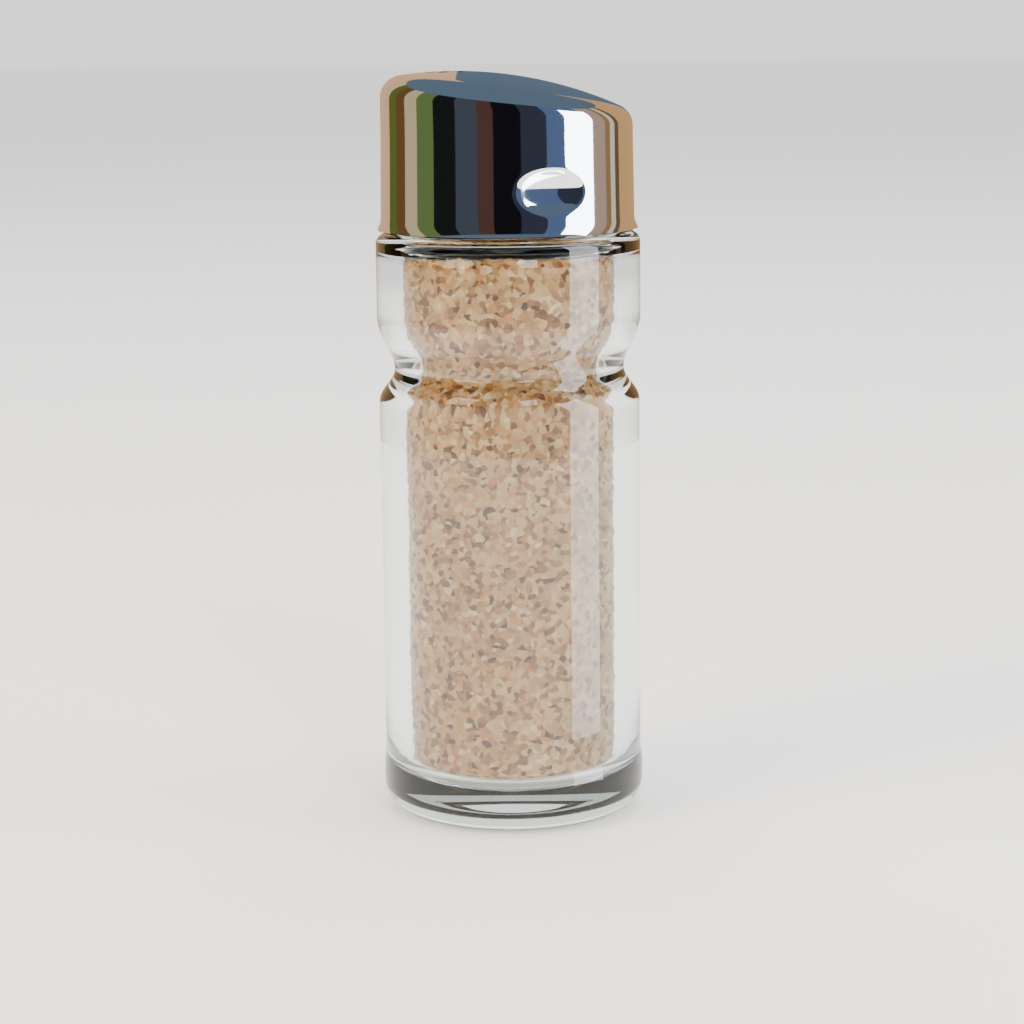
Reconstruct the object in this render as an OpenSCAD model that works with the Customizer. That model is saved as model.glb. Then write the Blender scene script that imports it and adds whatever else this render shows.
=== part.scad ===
// Small glass spice jar with a chromed, slant-topped sifter cap.
// It stands on the ring under its base at z = 0 and its axis is +Z. All sizes are in mm.
// The cap unscrews from the neck, and its shell turns on the screw cap to open the sifter.

/* [Overall] */
// Height from the table to the highest point of the cap
overall_h = 90; // [88:0.5:94]
// Diameter of the glass at its heel, the widest place
heel_d = 32; // [31:0.25:34]

/* [Glass outside] */
// Diameter of the straight body below the waist
body_d = 31.5; // [30:0.25:32.5]
// Diameter of the glass above the waist
upper_d = 31.8; // [30.5:0.25:33]
// Height of the straight heel, where the glass starts to draw in
heel_h = 5.5; // [4.5:0.25:7]
// Height over which the heel draws in to the body
heel_blend = 2.5; // [1.5:0.25:5]
// Radius of the rounded edge between base and heel
heel_round = 3.8; // [2:0.1:4.2]
// Diameter of the ring that the jar stands on, at its inner edge
foot_d = 19; // [14:0.5:22]
// Height of the hollow under the base
punt_h = 0.9; // [0.4:0.1:1.6]
// Height of the deepest point of the waist groove
waist_z = 54.5; // [48:0.5:57]
// Diameter at the bottom of the waist groove
waist_d = 27.7; // [26.5:0.1:29]
// Height of the groove's lower flank
waist_low = 3.9; // [3:0.1:6]
// Height of the groove's upper flank
waist_up = 6.4; // [4:0.1:8]
// Height of the glass shoulder
shoulder_z = 70.7; // [69:0.25:72]
// Radius of the shoulder's edge
shoulder_round = 1.1; // [0.6:0.1:2]

/* [Glass inside and neck] */
// Wall of the glass
wall_t = 2.8; // [2.4:0.1:3.2]
// Thickness of the base at its middle
floor_t = 4.7; // [3.5:0.1:6]
// Radius of the inner corner between wall and floor
floor_round = 3; // [1.5:0.1:4]
// Radius of the inner corner under the shoulder
shoulder_in_round = 2.4; // [1.5:0.1:3]
// Glass left over that corner, under the shoulder
shoulder_t = 0.8; // [0.5:0.1:1.5]
// Diameter of the neck without its thread
neck_d = 24.1; // [23.5:0.1:24.4]
// Bore of the neck
neck_bore = 21.2; // [20.8:0.1:21.6]
// Height of the neck above the shoulder
neck_h = 8.8; // [8:0.1:9.2]
// Rise of the shoulder towards the neck
shoulder_rise = 0.2; // [0:0.05:0.3]
// Radius of the rim of the neck
rim_round = 0.5; // [0.2:0.05:0.6]

/* [Spice] */
// Height of the top of the spice
fill_z = 69.2; // [40:0.5:69.5]
// Air between the spice and the glass
fill_gap = 0.15; // [0.1:0.05:0.4]

/* [Screw cap] */
// Thickness of the seal between neck and screw cap
seal_t = 0.8; // [0.5:0.1:1]
// Air between the seal's edge and the screw cap
seal_gap = 0.3; // [0.2:0.05:0.5]
// Depth of the thread that stands on the neck
thread_h = 0.55; // [0.4:0.05:0.6]
// Air between the neck's thread and the screw cap's wall
thread_gap = 0.15; // [0.1:0.05:0.2]
// Air between the shoulder and the foot of the screw cap
skirt_gap = 0.5; // [0.3:0.1:1]
// Thickness of the screw cap's top
disc_t = 2.2; // [2:0.1:2.4]
// Diameter of the port that the spice falls through
port_d = 5.9; // [5:0.1:6]
// Height of the lugs that stop the shell's turn
lug_h = 1.6; // [1:0.1:2]
// Width of a lug round the axis
lug_deg = 10; // [6:1:16]
// Thickness of a lug
lug_t = 1.3; // [0.9:0.1:1.4]

/* [Sifter shell] */
// Diameter of the shell at the top of its wall
shell_d = 30.16; // [29.8:0.1:30.8]
// How much wider the wall is at its foot
shell_draft = 0.3; // [0:0.05:0.4]
// Diameter of the flared lip
lip_d = 31.3; // [31:0.1:31.7]
// Height of the lip's flare
lip_h = 1.7; // [1:0.1:2.5]
// Bevel on the edge of the lip
lip_bevel = 0.2; // [0.1:0.05:0.3]
// Air between the glass shoulder and the lip
rim_gap = 0.4; // [0.3:0.05:0.8]
// Bore of the shell
shell_bore = 27.2; // [27:0.05:27.3]
// Height of the round wall, up to where the crown is joined on
wall_h = 10.8; // [10:0.1:11]
// Thickness of the roof
roof_t = 1.5; // [1.2:0.1:1.8]
// Radius of the crowned top
crown_r = 48; // [40:1:60]
// Slant of the top
slant = 8; // [5:0.5:9]
// Radius of the edge between top and wall
edge_round = 2.8; // [2:0.1:3.2]
// Direction in which the top slants down, from +X towards +Y
slant_turn = 20; // [0:5:90]
// Gap between shell and screw cap, each side
turn_gap = 0.08; // [0.03:0.01:0.1]
// How far the snap bead stands out of the bore
bead_out = 0.4; // [0.3:0.05:0.5]
// Height of the snap bead
bead_h = 0.7; // [0.5:0.1:0.8]
// Air round the snap bead in its groove
bead_gap = 0.3; // [0.2:0.05:0.35]
// Turn of the shell from closed to open
turn_deg = 90; // [70:5:110]

/* [Sifter holes and chute] */
// Distance of the sifter and the port from the axis
sift_r = 7.5; // [7:0.1:7.6]
// Diameter of one sifter hole
hole_d = 1.3; // [1:0.1:1.6]
// Radius of the ring of sifter holes
hole_ring = 1.95; // [1.8:0.05:2.2]
// Number of holes in the ring
hole_count = 6; // [4:1:7]
// Bore of the chute
chute_bore = 6.4; // [6:0.1:6.6]
// Wall of the chute
chute_t = 0.7; // [0.6:0.05:0.9]
// Air between the chute and the disc that it slides on
chute_gap = 0.1; // [0.05:0.05:0.3]
// Air between the chute and its collar
collar_fit = 0.03; // [0.02:0.01:0.08]
// Wall of the collar that holds the chute
collar_t = 0.8; // [0.6:0.1:1]
// Height of the collar at the middle of the sifter
collar_h = 1.8; // [1:0.1:2.4]

/* [Grip dimples] */
// Height of the dimples
dimple_z = 76.4; // [75.5:0.1:78]
// Depth of a dimple in the wall
dimple_depth = 1.05; // [0.6:0.05:1.1]
// Radius of a dimple up and down
dimple_bend = 3.74; // [3:0.05:5]
// Radius of a dimple round its upright axis, like that of a fingertip
dimple_turn = 20.8; // [12:0.1:30]

/* [Hidden] */
$fn = 96;

// Small overlap, so that pieces of one solid are never joined by a bare face
eps = 0.01;
// Steps along each curve that a formula gives
curve_steps = 10;

heel_r = heel_d / 2;
body_r = body_d / 2;
upper_r = upper_d / 2;
waist_r = waist_d / 2;
foot_r = foot_d / 2;
neck_r = neck_d / 2;
neck_bore_r = neck_bore / 2;

shoulder_in_z = shoulder_z - shoulder_t;
neck_foot_z = shoulder_z + shoulder_rise;
neck_z = shoulder_z + neck_h;
seal_z = neck_z + seal_t;
disc_z = seal_z + disc_t;
skirt_z = neck_foot_z + skirt_gap;
cap_bore_r = neck_r + thread_h + thread_gap;

rim_z = shoulder_z + rim_gap;
wall_top_z = rim_z + wall_h;
shell_r = shell_d / 2;
lip_r = lip_d / 2;
shell_bore_r = shell_bore / 2;
cap_r = shell_bore_r - turn_gap;
bead_z = seal_z + disc_t / 2;

// The crown is part of a ball whose centre lies uphill of the axis
crown_off = crown_r * sin(slant);
crown_z = overall_h - crown_r;
uphill = slant_turn + 180;
port_turn = uphill + turn_deg;
chute_r = chute_bore / 2 + chute_t;
collar_r = chute_r + collar_fit;
collar_z = overall_h - roof_t - collar_h;

// The rib in the shell, and the two lugs that it turns between with a little play
rib_deg = lug_deg;
lug_gap_deg = 2;
rib_z = disc_z + bead_gap;
lug_out_r = cap_r - bead_out;
lug_in_r = lug_out_r - lug_t;

// One side of the waist groove, as a soft wave from radius r down to the waist
function wave(r, t) = waist_r + (r - waist_r) * (1 - cos(180 * t)) / 2;
function arc(cx, cy, r, a0, a1) =
    [for (i = [0 : curve_steps]) let (a = a0 + (a1 - a0) * i / curve_steps) [cx + r * cos(a), cy + r * sin(a)]];

// Outside of the glass from the end of the heel to the shoulder, moved in by an offset
function glass_side(inset) = concat(
    [[body_r - inset, waist_z - waist_low]],
    [for (i = [1 : curve_steps]) let (t = i / curve_steps)
        [wave(body_r, 1 - t) - inset, waist_z - waist_low * (1 - t)]],
    [for (i = [1 : curve_steps]) let (t = i / curve_steps)
        [wave(upper_r, t) - inset, waist_z + waist_up * t]]
);

glass_outside = concat(
    arc(heel_r - heel_round, heel_round, heel_round, -90, 0),
    [[heel_r, heel_h], [body_r, heel_h + heel_blend]],
    glass_side(0),
    arc(upper_r - shoulder_round, shoulder_z - shoulder_round, shoulder_round, 0, 90),
    [[neck_r, neck_foot_z]],
    arc(neck_r - rim_round, neck_z - rim_round, rim_round, 0, 90)
);

// Inside of the glass from the neck down to the middle of the floor, moved in by an offset.
// Its wall follows the outside, and a round corner leads to the floor and to the neck.
function glass_inside(inset) = concat(
    [[0, floor_t + inset]],
    arc(body_r - wall_t - floor_round, floor_t + floor_round, floor_round - inset, -90, 0),
    glass_side(wall_t + inset),
    arc(upper_r - wall_t - shoulder_in_round, shoulder_in_z - shoulder_in_round,
        shoulder_in_round - inset, 0, 90)
);

// Hollow under the base, a shallow cap of a ball
punt_ball_r = (foot_r * foot_r + punt_h * punt_h) / (2 * punt_h);

module glass_bottle() {
    color([0.86, 0.93, 0.9, 0.35]) difference() {
        rotate_extrude() polygon(concat([[0, 0]], glass_outside, [[0, neck_z]]));
        rotate_extrude() polygon(concat(glass_inside(0), [[0, shoulder_in_z]]));
        translate([0, 0, shoulder_in_z - eps]) cylinder(r = neck_bore_r, h = neck_z - shoulder_in_z + 1);
        translate([0, 0, punt_h - punt_ball_r]) sphere(r = punt_ball_r);
    }
}

module spice_fill() {
    color("peru") intersection() {
        rotate_extrude() polygon(concat(glass_inside(fill_gap), [[0, shoulder_in_z - fill_gap]]));
        cylinder(r = heel_r, h = fill_z);
    }
}

module seal_liner() {
    color("whitesmoke") translate([0, 0, neck_z]) difference() {
        cylinder(r = cap_bore_r - seal_gap, h = seal_t);
        translate([0, 0, -1]) cylinder(r = neck_bore_r, h = seal_t + 2);
    }
}

// A piece of a ring round the axis
module ring_piece(r_in, r_out, z0, z1, middle, width) {
    rotate([0, 0, middle - width / 2]) rotate_extrude(angle = width)
        translate([r_in, z0]) square([r_out - r_in, z1 - z0]);
}

// Where the sifter or the port is, seen from the axis
module at_sifter(turn) {
    rotate([0, 0, turn]) translate([sift_r, 0, 0]) children();
}

module inner_cap() {
    color([0.16, 0.12, 0.1]) {
        difference() {
            translate([0, 0, skirt_z]) cylinder(r = cap_r, h = disc_z - skirt_z);
            translate([0, 0, skirt_z - 1]) cylinder(r = cap_bore_r, h = seal_z - skirt_z + 1);
            at_sifter(port_turn) translate([0, 0, seal_z - 1]) cylinder(d = port_d, h = disc_t + 2);
            snap_ring(cap_r + 1, cap_r - bead_out - bead_gap + turn_gap, bead_h + 2 * bead_gap);
        }
        for (stop = [uphill - lug_deg - lug_gap_deg, port_turn + lug_deg + lug_gap_deg])
            ring_piece(lug_in_r, lug_out_r, disc_z - eps, disc_z + lug_h, stop, lug_deg);
    }
}

// The snap bead, or its groove
module snap_ring(r_out, r_in, h) {
    translate([0, 0, bead_z - h / 2]) difference() {
        cylinder(r = r_out, h = h);
        translate([0, 0, -1]) cylinder(r = r_in, h = h + 2);
    }
}

// Outer wall of the shell, with a little draft and a flared lip
module shell_wall() {
    wall_foot_r = shell_r + shell_draft / 2;
    rotate_extrude() polygon(concat(
        [[0, rim_z], [lip_r - lip_bevel, rim_z]],
        [for (i = [0 : curve_steps]) let (t = i / curve_steps)
            [wall_foot_r + (lip_r - wall_foot_r) * pow(1 - t, 2), rim_z + lip_bevel + (lip_h - lip_bevel) * t]],
        [[shell_r, wall_top_z], [0, wall_top_z]]
    ));
}

// Section of the crown in the upright plane at an angle from the uphill direction:
// a point on the edge's arc for t from 0 to 1, and on the ball for t from 1 to 2
function crown_point(angle, t, r) =
    let (off = crown_off * cos(angle),
         ball = sqrt(pow(crown_r, 2) - pow(crown_off * sin(angle), 2)),
         edge_x = r - edge_round,
         edge_z = sqrt(pow(ball - edge_round, 2) - pow(edge_x - off, 2)),
         meet = atan2(edge_z, edge_x - off),
         meet_x = off + ball * cos(meet),
         x = t < 1 ? edge_x + edge_round * cos(meet * t) : meet_x * (2 - t),
         z = t < 1 ? edge_z + edge_round * sin(meet * t) : sqrt(pow(ball, 2) - pow(x - off, 2)))
    [x * cos(angle + uphill), x * sin(angle + uphill), crown_z + z];

module crown() {
    sides = 64;
    rings = 12;
    foot_z = wall_top_z - 1;
    r = shell_r - eps;
    points = concat(
        [[0, 0, foot_z]],
        [for (s = [0 : sides - 1]) let (a = 360 * s / sides)
            [r * cos(a + uphill), r * sin(a + uphill), foot_z]],
        [for (k = [0 : rings - 1], s = [0 : sides - 1]) crown_point(360 * s / sides, 2 * k / rings, r)],
        [crown_point(0, 2, r)]
    );
    apex = len(points) - 1;
    function at(ring, s) = 1 + ring * sides + s % sides;
    polyhedron(points, concat(
        [for (s = [0 : sides - 1]) [0, at(0, s), at(0, s + 1)]],
        [for (k = [0 : rings - 1], s = [0 : sides - 1]) [at(k, s), at(k + 1, s), at(k + 1, s + 1)]],
        [for (k = [0 : rings - 1], s = [0 : sides - 1]) [at(k, s), at(k + 1, s + 1), at(k, s + 1)]],
        [for (s = [0 : sides - 1]) [at(rings, s), apex, at(rings, s + 1)]]
    ), convexity = 4);
}

// Underside of the roof: the crown's ball, smaller by the roof's thickness
module roof_ball() {
    rotate([0, 0, uphill]) translate([crown_off, 0, crown_z]) sphere(r = crown_r - roof_t);
}

// A shallow dish like a fingertip's, on the side of the wall
module dimple(turn) {
    middle_r = shell_r + shell_draft / 4 - dimple_depth + dimple_turn;
    rotate([0, 0, turn]) translate([middle_r, 0, dimple_z]) rotate_extrude()
        translate([dimple_turn - dimple_bend, 0]) circle(r = dimple_bend);
}

module sifter_shell() {
    color([0.78, 0.79, 0.82]) difference() {
        union() {
            shell_wall();
            crown();
        }
        difference() {
            intersection() {
                translate([0, 0, rim_z - 1]) cylinder(r = shell_bore_r, h = overall_h);
                roof_ball();
            }
            snap_ring(shell_bore_r + 1, shell_bore_r - bead_out, bead_h);
            ring_piece(lug_in_r, shell_bore_r + 1, rib_z, overall_h, uphill, rib_deg);
            at_sifter(uphill) translate([0, 0, collar_z]) difference() {
                cylinder(r = collar_r + collar_t, h = overall_h - collar_z);
                translate([0, 0, -1]) cylinder(r = collar_r, h = overall_h - collar_z + 2);
            }
        }
        at_sifter(uphill) translate([0, 0, collar_z]) {
            cylinder(d = hole_d, h = overall_h - collar_z + 1);
            for (k = [0 : hole_count - 1]) rotate([0, 0, 360 * k / hole_count])
                translate([hole_ring, 0, 0]) cylinder(d = hole_d, h = overall_h - collar_z + 1);
        }
        for (side = [-90, 90]) dimple(slant_turn + side);
    }
}

module pour_chute() {
    color("gainsboro") intersection() {
        at_sifter(uphill) translate([0, 0, disc_z + chute_gap]) difference() {
            cylinder(r = chute_r, h = overall_h - disc_z);
            translate([0, 0, -1]) cylinder(d = chute_bore, h = overall_h);
        }
        roof_ball();
    }
}

glass_bottle();
spice_fill();
seal_liner();
inner_cap();
sifter_shell();
pour_chute();
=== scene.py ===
from math import atan2, cos, degrees, exp, hypot, log1p, pi, radians, sin, sqrt

import bmesh
import bpy
from mathutils import Matrix, Vector


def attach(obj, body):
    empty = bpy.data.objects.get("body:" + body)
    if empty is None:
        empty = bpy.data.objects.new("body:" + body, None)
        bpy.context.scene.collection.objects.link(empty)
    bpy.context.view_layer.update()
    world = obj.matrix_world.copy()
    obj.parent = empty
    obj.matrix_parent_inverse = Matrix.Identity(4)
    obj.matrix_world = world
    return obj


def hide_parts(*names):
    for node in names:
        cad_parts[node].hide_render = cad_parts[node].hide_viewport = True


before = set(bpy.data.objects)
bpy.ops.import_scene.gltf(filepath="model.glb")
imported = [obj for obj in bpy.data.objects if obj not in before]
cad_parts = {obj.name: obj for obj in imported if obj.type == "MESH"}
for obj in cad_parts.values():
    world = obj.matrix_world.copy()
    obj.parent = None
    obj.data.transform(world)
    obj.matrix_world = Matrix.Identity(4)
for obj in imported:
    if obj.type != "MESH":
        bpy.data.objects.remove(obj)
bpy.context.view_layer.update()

# The camera stands where the photograph was taken from: 34 cm in front of the jar, 10 cm up,
# looking down by about ten degrees and turned by a little over half a degree.
MM = 0.001
camera_tilt = radians(90 - 10.22)
camera_roll = radians(-0.63)
camera_data = bpy.data.cameras.new("camera")
camera_data.lens = 100.4
camera_data.sensor_width = 36
camera = bpy.data.objects.new("camera", camera_data)
camera.location = (0.12 * MM, -343.3 * MM, 98.5 * MM)
camera_turn = Matrix.Rotation(camera_tilt, 3, "X") @ Matrix.Rotation(camera_roll, 3, "Z")
camera.rotation_euler = camera_turn.to_euler()
bpy.context.scene.collection.objects.link(camera)
bpy.context.scene.camera = camera


# The glass bottle: one pressed and blown piece of clear glass with a thick base, a rounded heel,
# a waist groove, a square shoulder and a threaded neck. It is turned from its section, from the
# middle of the hollow under the base, up the outside, over the rim and down the inside.
overall_h = 90
heel_r, body_r, upper_r = 16, 15.75, 15.9
heel_round, heel_h, heel_blend = 3.8, 5.5, 2.5
foot_r, foot_land, punt_h = 9.5, 0.4, 0.9
waist_z, waist_r, waist_low, waist_up = 54.5, 13.85, 3.9, 6.4
shoulder_z, shoulder_round, shoulder_rise, shoulder_t = 70.7, 1.1, 0.2, 0.8
wall_t, floor_t, floor_round, shoulder_in_round = 2.8, 4.7, 3, 2.4
neck_r, neck_bore_r, neck_h, rim_round = 12.05, 10.6, 8.8, 0.5
neck_z = shoulder_z + neck_h
thread_h, thread_half_w, thread_lead, thread_turns, thread_fade = 0.55, 0.9, 4, 1.5, 4
thread_z = shoulder_z + 1.9
axis_r = 0.02
low_steps, high_steps, heel_steps = 14, 18, 8
glass_sides = 160


def select_none():
    if bpy.context.object and bpy.context.object.mode != "OBJECT":
        bpy.ops.object.mode_set(mode="OBJECT")
    bpy.ops.object.select_all(action="DESELECT")


def arc(x, z, r, start, end, steps):
    turns = [radians(start + (end - start) * i / steps) for i in range(steps + 1)]
    return [(x + r * cos(a), z + r * sin(a)) for a in turns]


def wave(r, t):
    """Radius in the waist groove, from its bottom at t = 0 out to r at t = 1."""
    return waist_r + (r - waist_r) * (1 - cos(pi * t)) / 2


def glass_side(inset):
    """The waist groove from its lower to its upper end, moved in by an inset."""
    low = [(wave(body_r, 1 - i / low_steps) - inset, waist_z - waist_low * (1 - i / low_steps))
           for i in range(low_steps + 1)]
    high = [(wave(upper_r, i / high_steps) - inset, waist_z + waist_up * i / high_steps)
            for i in range(1, high_steps + 1)]
    return low + high


def turn_piece(name, section, sides):
    """Turns a section of (radius, height) points in mm round the upright axis, ring by ring."""
    select_none()
    r, z = section[0]
    bpy.ops.mesh.primitive_circle_add(vertices=sides, radius=r * MM, fill_type="NOTHING")
    piece = bpy.context.object
    piece.name = name
    bpy.ops.object.mode_set(mode="EDIT")
    bpy.ops.mesh.select_all(action="SELECT")
    bpy.ops.transform.translate(value=(0, 0, z * MM))
    for new_r, new_z in section[1:]:
        bpy.ops.mesh.extrude_region_move(TRANSFORM_OT_translate={"value": (0, 0, (new_z - z) * MM)})
        k = new_r / r
        bpy.ops.transform.resize(value=(k, k, 1), center_override=(0, 0, new_z * MM))
        r, z = new_r, new_z
    bpy.ops.object.mode_set(mode="OBJECT")
    close_piece(piece)
    return piece


def close_piece(piece):
    """Merges the small rings at both ends of a turned section and turns all faces outwards."""
    mesh = bmesh.new()
    mesh.from_mesh(piece.data)
    for side in (1, -1):
        tips = [v for v in mesh.verts
                if hypot(v.co.x, v.co.y) < 1.5 * axis_r * MM and v.normal.z * side >= 0]
        bmesh.ops.remove_doubles(mesh, verts=tips, dist=5 * axis_r * MM)
    bmesh.ops.remove_doubles(mesh, verts=mesh.verts, dist=0.0005 * MM)
    bmesh.ops.recalc_face_normals(mesh, faces=mesh.faces)
    mesh.to_mesh(piece.data)
    mesh.free()


def smooth(piece, angle):
    select_none()
    piece.select_set(True)
    bpy.context.view_layer.objects.active = piece
    bpy.ops.object.shade_smooth_by_angle(angle=radians(angle))


def finish_of(name, colour, roughness, **sockets):
    """A new material with its constant values set on the shader's own sockets."""
    material = bpy.data.materials.new(name)
    material.use_nodes = True
    shader = material.node_tree.nodes["Principled BSDF"]
    shader.inputs["Base Color"].default_value = (*colour, 1)
    shader.inputs["Roughness"].default_value = roughness
    for socket, value in sockets.items():
        shader.inputs[socket.replace("_", " ")].default_value = value
    return material, material.node_tree.nodes, material.node_tree.links, shader


def object_noise(nodes, links, scale, detail, stretch=(1, 1, 1)):
    place = nodes.new("ShaderNodeTexCoord")
    mapping = nodes.new("ShaderNodeMapping")
    mapping.inputs["Scale"].default_value = stretch
    noise = nodes.new("ShaderNodeTexNoise")
    noise.inputs["Scale"].default_value = scale
    noise.inputs["Detail"].default_value = detail
    links.new(place.outputs["Object"], mapping.inputs["Vector"])
    links.new(mapping.outputs["Vector"], noise.inputs["Vector"])
    return noise


def ranged(nodes, links, value, low, high):
    span = nodes.new("ShaderNodeMapRange")
    span.inputs["To Min"].default_value = low
    span.inputs["To Max"].default_value = high
    links.new(value, span.inputs["Value"])
    return span.outputs["Result"]


def bump(nodes, links, shader, height, strength, distance):
    node = nodes.new("ShaderNodeBump")
    node.inputs["Strength"].default_value = strength
    node.inputs["Distance"].default_value = distance
    links.new(height, node.inputs["Height"])
    links.new(node.outputs["Normal"], shader.inputs["Normal"])


# Heights of the rings on the straight walls and on the neck, where the thread is pressed out
body_rows = [14, 20, 26, 32, 38, 44, 48]
upper_rows = [63, 66]
neck_rows = [shoulder_z + 0.8 + 0.25 * i for i in range(30)]
punt_ball = (foot_r ** 2 + punt_h ** 2) / (2 * punt_h)
punt_edge = degrees(atan2(foot_r, punt_ball - punt_h))
punt = arc(0, punt_h - punt_ball, punt_ball, 90, 90 - punt_edge, 8)
heel_taper = [(body_r + (heel_r - body_r) * (1 + cos(pi * i / heel_steps)) / 2,
               heel_h + heel_blend * i / heel_steps) for i in range(heel_steps + 1)]
glass_section = (
    [(axis_r, punt_h)] + punt[1:] + [(foot_r + foot_land, 0)]
    + arc(heel_r - heel_round, heel_round, heel_round, -90, 0, 16) + heel_taper
    + [(body_r, z) for z in body_rows] + glass_side(0) + [(upper_r, z) for z in upper_rows]
    + arc(upper_r - shoulder_round, shoulder_z - shoulder_round, shoulder_round, 0, 90, 8)
    + [(neck_r + 1, shoulder_z + 0.08), (neck_r + 0.3, shoulder_z + shoulder_rise)]
    + [(neck_r, z) for z in neck_rows]
    + arc(neck_r - rim_round, neck_z - rim_round, rim_round, 0, 90, 5)
    + arc(neck_bore_r + rim_round, neck_z - rim_round, rim_round, 90, 180, 5)
    + [(neck_bore_r, shoulder_z + 1), (neck_bore_r, shoulder_z - shoulder_t)]
    + arc(upper_r - wall_t - shoulder_in_round, shoulder_z - shoulder_t - shoulder_in_round,
          shoulder_in_round, 80, 0, 10)
    + glass_side(wall_t)[::-1] + [(body_r - wall_t, z) for z in body_rows[-2::-1]]
    + arc(body_r - wall_t - floor_round, floor_t + floor_round, floor_round, 0, -90, 10)
    + [(5, floor_t), (axis_r, floor_t)]
)
glass = turn_piece("bottle_glass", glass_section, glass_sides)
for vertex in glass.data.vertices:
    x, y, z = (c / MM for c in vertex.co)
    if abs(hypot(x, y) - neck_r) < 0.02 and shoulder_z + 1 < z < neck_z - 0.6:
        course = (z - thread_z) / thread_lead
        along = course - atan2(y, x) / (2 * pi) % 1
        away = (along - round(along)) * thread_lead
        ends = min(1, max(0, course * thread_fade + 0.6), max(0, (thread_turns - course) * thread_fade))
        ridge = thread_h * max(0, 1 - (away / thread_half_w) ** 2) ** 1.5 * ends
        vertex.co.x *= 1 + ridge / neck_r
        vertex.co.y *= 1 + ridge / neck_r
smooth(glass, 35)
clear, nodes, links, shader = finish_of(
    "clear_glass", (0.97, 0.99, 0.98), 0.0, Transmission_Weight=1.0, IOR=1.5)
ripple = object_noise(nodes, links, 90, 2, (1, 1, 0.35))
bump(nodes, links, shader, ripple.outputs["Fac"], 0.12, 0.0004)
links.new(ranged(nodes, links, ripple.outputs["Fac"], 0.0, 0.02), shader.inputs["Roughness"])
tint = nodes.new("ShaderNodeVolumeAbsorption")
tint.inputs["Color"].default_value = (0.62, 0.86, 0.78, 1)
tint.inputs["Density"].default_value = 16
links.new(tint.outputs["Volume"], nodes["Material Output"].inputs["Volume"])
glass.data.materials.append(clear)
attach(glass, "jar")
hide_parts("glass_bottle")


# The spice: coarse dry ground spice that fills the glass to the shoulder, tan with ochre, orange
# and dark brown grains. Its surface is pressed into grains and stays just clear of the glass.
fill_z, fill_gap = 69.2, 0.15
grain_step, spice_sides = 0.42, 210
spice_r = body_r - wall_t


def along_section(section, step):
    """The same section with a point about every step, so that the mesh is even."""
    points = [section[0]]
    for (r0, z0), (r1, z1) in zip(section, section[1:]):
        n = max(1, round(hypot(r1 - r0, z1 - z0) / step))
        points += [(r0 + (r1 - r0) * i / n, z0 + (z1 - z0) * i / n) for i in range(1, n + 1)]
    return points


def new_ramp(nodes, links, value, stops):
    """A colour ramp over a value, with (place, colour) stops."""
    ramp = nodes.new("ShaderNodeValToRGB")
    for i, (at, colour) in enumerate(stops):
        stop = ramp.color_ramp.elements[i] if i < 2 else ramp.color_ramp.elements.new(at)
        stop.position = at
        stop.color = (*colour, 1)
    links.new(value, ramp.inputs["Fac"])
    return ramp.outputs["Color"]


corner = arc(upper_r - wall_t - shoulder_in_round, shoulder_z - shoulder_t - shoulder_in_round,
             shoulder_in_round - fill_gap, 0, 90, 20)
corner = [p for p in corner if p[1] < fill_z - 0.3]
spice_section = along_section(
    [(axis_r, floor_t + fill_gap)]
    + arc(spice_r - floor_round, floor_t + floor_round, floor_round - fill_gap, -90, 0, 10)
    + glass_side(wall_t + fill_gap) + corner
    + [(corner[-1][0] - 0.4, fill_z - 0.05), (axis_r, fill_z)], grain_step)
spice = turn_piece("ground_spice", spice_section, spice_sides)
for name, size, depth in (("large_grains", 1.1, 0.42), ("small_grains", 0.55, 0.2)):
    cells = bpy.data.textures.new(name, "VORONOI")
    cells.noise_scale = size * MM
    cells.noise_intensity = 1.2
    press = spice.modifiers.new(name, "DISPLACE")
    press.texture = cells
    press.texture_coords = "LOCAL"
    press.mid_level = 0
    press.strength = -depth * MM
    select_none()
    bpy.context.view_layer.objects.active = spice
    bpy.ops.object.modifier_apply(modifier=press.name)
smooth(spice, 80)
grain, nodes, links, shader = finish_of(
    "ground_spice", (0.6, 0.36, 0.14), 0.75, Specular_IOR_Level=0.35)
place = nodes.new("ShaderNodeTexCoord")
warp = object_noise(nodes, links, 700, 3)
warped = nodes.new("ShaderNodeMixRGB")
warped.inputs["Fac"].default_value = 0.0007
links.new(place.outputs["Object"], warped.inputs["Color1"])
links.new(warp.outputs["Color"], warped.inputs["Color2"])
cell = nodes.new("ShaderNodeTexVoronoi")
cell.inputs["Scale"].default_value = 1500
links.new(warped.outputs["Color"], cell.inputs["Vector"])
pick = nodes.new("ShaderNodeSeparateColor")
links.new(cell.outputs["Color"], pick.inputs["Color"])
tones = new_ramp(nodes, links, pick.outputs["Red"], (
    (0.0, (0.10, 0.035, 0.012)), (0.10, (0.30, 0.12, 0.035)), (0.28, (0.50, 0.25, 0.08)),
    (0.5, (0.66, 0.40, 0.17)), (0.72, (0.80, 0.55, 0.27)), (0.86, (0.72, 0.28, 0.06)),
    (1.0, (0.93, 0.74, 0.45))))
patch = object_noise(nodes, links, 120, 3)
patches = new_ramp(nodes, links, patch.outputs["Fac"], ((0.3, (0.72, 0.66, 0.6)), (0.7, (1, 1, 1))))
shade = nodes.new("ShaderNodeMixRGB")
shade.blend_type = "MULTIPLY"
shade.inputs["Fac"].default_value = 1
links.new(tones, shade.inputs["Color1"])
links.new(patches, shade.inputs["Color2"])
links.new(shade.outputs["Color"], shader.inputs["Base Color"])
bump(nodes, links, shader, cell.outputs["Distance"], 0.8, 0.0004)
spice.data.materials.append(grain)
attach(spice, "jar")
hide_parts("spice_fill")


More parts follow.
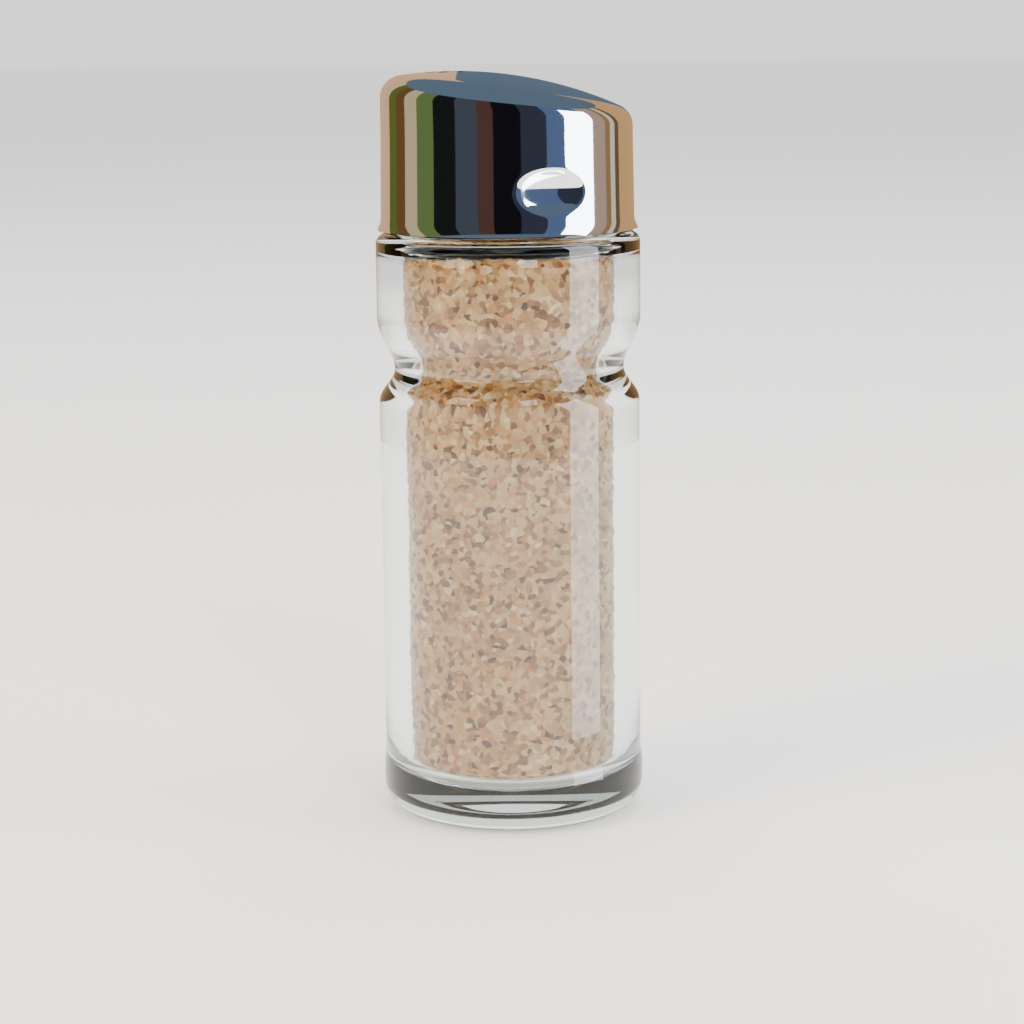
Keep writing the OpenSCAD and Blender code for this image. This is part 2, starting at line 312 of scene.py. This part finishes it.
# The seal, screw cap and chute: a foamed ring on the neck's rim, a near-black moulded cap with the port,
# and a pale moulded tube pressed into the shell. All three are the construction's own solids. The cap's
# near black is partly its own colour and partly painted shade: seen through the glass shoulder it makes
# the dark band under the chrome, which stands in for the shade under the shell.
white, nodes, links, shader = finish_of("white_liner", (0.86, 0.86, 0.83), 0.6)
bump(nodes, links, shader, object_noise(nodes, links, 2600, 3).outputs["Fac"], 0.3, 0.0002)
# Near black, partly painted shade: seen through the glass shoulder it paints the dark band under the
# chrome shell.
dark, nodes, links, shader = finish_of("dark_plastic", (0.035, 0.022, 0.016), 0.32)
moulding = object_noise(nodes, links, 1500, 4)
bump(nodes, links, shader, moulding.outputs["Fac"], 0.12, 0.0001)
links.new(ranged(nodes, links, moulding.outputs["Fac"], 0.25, 0.42), shader.inputs["Roughness"])
pale, nodes, links, shader = finish_of("pale_plastic", (0.82, 0.82, 0.79), 0.4, Subsurface_Weight=0.1)
bump(nodes, links, shader, object_noise(nodes, links, 1800, 3).outputs["Fac"], 0.12, 0.0001)
for node, material in (("seal_liner", white), ("inner_cap", dark), ("pour_chute", pale)):
    solid = bpy.data.objects[node]
    solid.data.materials.clear()
    solid.data.materials.append(material)


# The sifter shell: a moulded cap plated with bright chrome. Its wall flares to a lip, its crowned top
# slants down to one side, and it has seven holes at its high side and two finger dimples in the wall.
shell_r, shell_draft, lip_r, lip_h, lip_bevel = 15.08, 0.3, 15.65, 1.7, 0.2
rim_z, wall_h, roof_t, shell_bore_r = 71.1, 10.8, 1.5, 13.6
crown_r, slant, edge_round, slant_turn = 48, radians(8), 2.8, radians(20)
dimple_z, dimple_depth, dimple_bend, dimple_turn = 76.4, 1.05, 3.74, 20.8
sift_r, hole_d, hole_ring, hole_count = 7.5, 1.3, 1.95, 6
soft_edge = 0.1
edge_steps, crown_steps, roof_steps, lip_steps, wall_steps, shell_sides = 16, 22, 16, 10, 44, 288
crown_off = crown_r * sin(slant)
crown_z = overall_h - crown_r
uphill = slant_turn + pi
wall_top_z = rim_z + wall_h


def wall_at(z):
    foot = shell_r + shell_draft / 2
    if z <= rim_z + lip_h:
        t = max(0, (z - rim_z - lip_bevel) / (lip_h - lip_bevel))
        return foot + (lip_r - foot) * (1 - t) ** 2
    return foot - (foot - shell_r) * min(1, (z - rim_z - lip_h) / (wall_h - lip_h))


def crown_at(r, turn, ball, edge):
    """Height of the crown at a radius and a turn from the uphill direction."""
    off = crown_off * cos(turn)
    section = sqrt(ball ** 2 - (crown_off * sin(turn)) ** 2)
    edge_r = shell_r - edge_round
    edge_z = sqrt((section - edge_round) ** 2 - (edge_r - off) ** 2)
    meet = off + section * cos(atan2(edge_z, edge_r - off))
    if edge and r > meet:
        return crown_z + edge_z + sqrt(max(0, edge_round ** 2 - (r - edge_r) ** 2))
    return crown_z + sqrt(section ** 2 - (r - off) ** 2)


def dimpled(r, turn, z):
    """The wall's radius with a dimple's dish taken out of it, with a softly rounded edge."""
    up = z - dimple_z
    if abs(up) >= dimple_bend:
        return r
    middle = shell_r + shell_draft / 4 - dimple_depth + dimple_turn
    reach = dimple_turn - dimple_bend + sqrt(dimple_bend ** 2 - up ** 2)
    side = middle * sin(turn)
    if abs(side) >= reach or cos(turn) < 0:
        return r
    dish = middle * cos(turn) - sqrt(reach ** 2 - side ** 2)
    return r - soft_edge * log1p(exp((r - dish) / soft_edge))


# The roof's rings are first extruded flat at two stand-in heights, and then lifted to the crown
roof_flat, underside_flat = 88, 84
outer_rings = [shell_r - edge_round + edge_round * sin(pi / 2 * i / edge_steps)
               for i in range(edge_steps, -1, -1)]
outer_rings += [outer_rings[-1] * (1 - i / crown_steps) for i in range(1, crown_steps)] + [axis_r]
wall_rows = [rim_z + lip_bevel + (lip_h - lip_bevel) * i / lip_steps for i in range(lip_steps + 1)]
wall_rows += [rim_z + lip_h + (wall_h - lip_h) * i / wall_steps for i in range(1, wall_steps + 1)]
inner_rings = [axis_r] + [shell_bore_r * i / roof_steps for i in range(1, roof_steps + 1)]
shell_section = (
    [(r, roof_flat) for r in outer_rings[::-1]] + [(wall_at(z), z) for z in wall_rows[::-1]]
    + [(lip_r - lip_bevel, rim_z), (shell_bore_r, rim_z), (shell_bore_r, wall_top_z)]
    + [(r, underside_flat) for r in inner_rings[::-1]]
)
shell = turn_piece("sifter_shell_chrome", shell_section, shell_sides)
for vertex in shell.data.vertices:
    x, y, z = (c / MM for c in vertex.co)
    r, turn = hypot(x, y), atan2(y, x)
    if z > roof_flat - 1:
        vertex.co.z = crown_at(r, turn - uphill, crown_r, True) * MM
    elif z > underside_flat - 1:
        vertex.co.z = crown_at(r, turn - uphill, crown_r - roof_t, False) * MM
    elif r > shell_bore_r + 0.5 and z > rim_z + 0.5:
        for side in (-pi / 2, pi / 2):
            away = (turn - slant_turn - side + pi) % (2 * pi) - pi
            r = dimpled(r, away, z)
        vertex.co.x = r * cos(turn) * MM
        vertex.co.y = r * sin(turn) * MM
hole_turns = [uphill + 2 * pi * k / hole_count for k in range(hole_count)]
hole_spots = [(0, 0)] + [(hole_ring * cos(a), hole_ring * sin(a)) for a in hole_turns]
select_none()
drills = []
for dx, dy in hole_spots:
    at = ((sift_r * cos(uphill) + dx) * MM, (sift_r * sin(uphill) + dy) * MM, overall_h * MM)
    bpy.ops.mesh.primitive_cylinder_add(vertices=32, radius=hole_d / 2 * MM, depth=8 * MM, location=at)
    drills.append(bpy.context.object)
select_none()
for drill in drills:
    drill.select_set(True)
bpy.context.view_layer.objects.active = drills[0]
bpy.ops.object.join()
cutter = bpy.context.object
cut = shell.modifiers.new("sifter_holes", "BOOLEAN")
cut.object = cutter
cut.solver = "EXACT"
select_none()
bpy.context.view_layer.objects.active = shell
bpy.ops.object.modifier_apply(modifier=cut.name)
bpy.data.objects.remove(cutter)
smooth(shell, 40)
plate, nodes, links, shader = finish_of("bright_chrome", (0.80, 0.82, 0.86), 0.04, Metallic=1.0)
haze = object_noise(nodes, links, 260, 5, (1, 1, 0.4))
links.new(ranged(nodes, links, haze.outputs["Fac"], 0.015, 0.075), shader.inputs["Roughness"])
bump(nodes, links, shader, object_noise(nodes, links, 110, 2).outputs["Fac"], 0.05, 0.0003)
shell.data.materials.append(plate)
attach(shell, "sifter")
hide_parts("sifter_shell")


# The studio: a pale paper floor and back wall under soft light, and a ring of cards that show only
# in the chrome and the glass: a white window strip at the front right, dark cloth in front, and
# warm, green and brown cards at the sides. None of it belongs to the jar.
def soft_light(name, width, height, place, colour, power):
    data = bpy.data.lights.new(name, "AREA")
    data.shape = "RECTANGLE"
    data.size = width
    data.size_y = height
    data.energy = power
    data.color = colour
    light = bpy.data.objects.new(name, data)
    light.location = place
    light.rotation_euler = (Vector((0, 0, 0.05)) - Vector(place)).to_track_quat("-Z", "Y").to_euler()
    light.visible_glossy = False
    bpy.context.scene.collection.objects.link(light)


def ring_card(name, start, end, low, high, distance, colour, strength):
    """A curved card round the jar, from one turn to another as seen from the camera's side."""
    select_none()
    bpy.ops.mesh.primitive_grid_add(x_subdivisions=12, y_subdivisions=1, size=1)
    piece = bpy.context.object
    piece.name = name
    for vertex in piece.data.vertices:
        turn = radians(start + (end - start) * (vertex.co.x + 0.5))
        height = low + (high - low) * (vertex.co.y + 0.5)
        vertex.co = (distance * sin(turn), -distance * cos(turn), height)
    glow = finish_of(name, (0, 0, 0), 0.5, Specular_IOR_Level=0, Emission_Color=(*colour, 1),
                     Emission_Strength=strength)[0]
    piece.data.materials.append(glow)
    for ray in ("camera", "diffuse", "shadow", "volume_scatter", "transmission"):
        setattr(piece, "visible_" + ray, False)


soft_light("soft_left", 0.5, 0.8, (-0.75, -0.55, 0.5), (1.0, 0.82, 0.58), 13)
soft_light("soft_right", 0.4, 0.8, (0.85, -0.15, 0.4), (1.0, 0.9, 0.78), 5)
soft_light("soft_front", 0.3, 0.6, (0.3, -0.8, 0.5), (1.0, 0.97, 0.95), 6)
soft_light("overhead", 0.9, 0.9, (0.0, 0.2, 1.0), (0.95, 0.98, 1.0), 9)

# The window strip stands close to the jar, and the low card just behind the ring of the others.
# The columns are the turns of a card's two edges in degrees, its two heights, its distance, its
# colour and its strength.
near, far = 0.06, 0.30
behind = far + 0.002
foot, top = -0.05, 0.30
cards = (
    ("window_strip", 47, 74, -0.02, 0.11, near, (0.92, 0.95, 1.0), 11),
    ("peach_left", -178, -131, foot, top, far, (0.85, 0.52, 0.30), 1),
    ("green_left", -131, -117, foot, top, far, (0.12, 0.15, 0.03), 1),
    ("brown_left", -117, -103, foot, top, far, (0.16, 0.08, 0.03), 1),
    ("cream_left", -103, -87, foot, top, far, (0.62, 0.48, 0.28), 1),
    ("leaf_left", -87, -68, 0.028, top, far, (0.13, 0.19, 0.06), 1),
    ("black_left", -68, -46, 0.026, top, far, (0.012, 0.012, 0.012), 1),
    ("slate_left", -46, -26, 0.023, top, far, (0.06, 0.07, 0.09), 1),
    ("table_left", -87, -26, foot, 0.03, behind, (0.42, 0.26, 0.13), 1),
    ("maroon_front", -26, -12, foot, top, far, (0.09, 0.045, 0.035), 1),
    ("black_front", -12, 12, foot, top, far, (0.008, 0.007, 0.01), 1),
    ("slate_front", 12, 35, foot, top, far, (0.035, 0.04, 0.06), 1),
    ("blue_right", 35, 76, foot, top, far, (0.10, 0.15, 0.28), 1),
    ("dusty_right", 76, 98, foot, top, far, (0.50, 0.34, 0.26), 1),
    ("tan_right", 98, 105, foot, top, far, (0.32, 0.2, 0.09), 1),
    ("cream_right", 105, 112, foot, top, far, (0.8, 0.66, 0.5), 1),
    ("brown_right", 112, 119, foot, top, far, (0.16, 0.1, 0.06), 1),
    ("peach_right", 119, 165, foot, top, far, (0.70, 0.40, 0.17), 1),
)
for card in cards:
    ring_card(*card)

floor_size, wall_size, wall_y = 12, 6, 4
paper, nodes, links, shader = finish_of(
    "floor_paper", (0.95, 0.945, 0.945), 0.9, Emission_Color=(1, 0.985, 0.985, 1), Emission_Strength=0.28)
bump(nodes, links, shader, object_noise(nodes, links, 900, 3).outputs["Fac"], 0.04, 0.0002)
upright = Matrix.Translation((0, wall_y, 0)) @ Matrix.Rotation(pi / 2, 4, "X")
for name, place, in_reflections in (
    ("floor", Matrix.Diagonal((floor_size, floor_size, 1, 1)), True),
    ("back_wall", upright @ Matrix.Diagonal((floor_size, wall_size, 1, 1)), False),
):
    select_none()
    bpy.ops.mesh.primitive_plane_add(size=1)
    sheet = bpy.context.object
    sheet.name = name
    sheet.data.transform(place)
    sheet.data.materials.append(paper)
    sheet.visible_glossy = in_reflections

# The room is near white, and a dim blue-grey where the chrome and the glass mirror it
world = bpy.data.worlds.new("studio")
bpy.context.scene.world = world
world.use_nodes = True
nodes, links = world.node_tree.nodes, world.node_tree.links
room = nodes["Background"]
room.inputs["Color"].default_value = (1.0, 0.985, 0.97, 1)
sky = nodes.new("ShaderNodeBackground")
sky.inputs["Color"].default_value = (0.12, 0.17, 0.23, 1)
ray = nodes.new("ShaderNodeLightPath")
blend = nodes.new("ShaderNodeMixShader")
links.new(ray.outputs["Is Glossy Ray"], blend.inputs["Fac"])
links.new(room.outputs["Background"], blend.inputs[1])
links.new(sky.outputs["Background"], blend.inputs[2])
links.new(blend.outputs["Shader"], nodes["World Output"].inputs["Surface"])
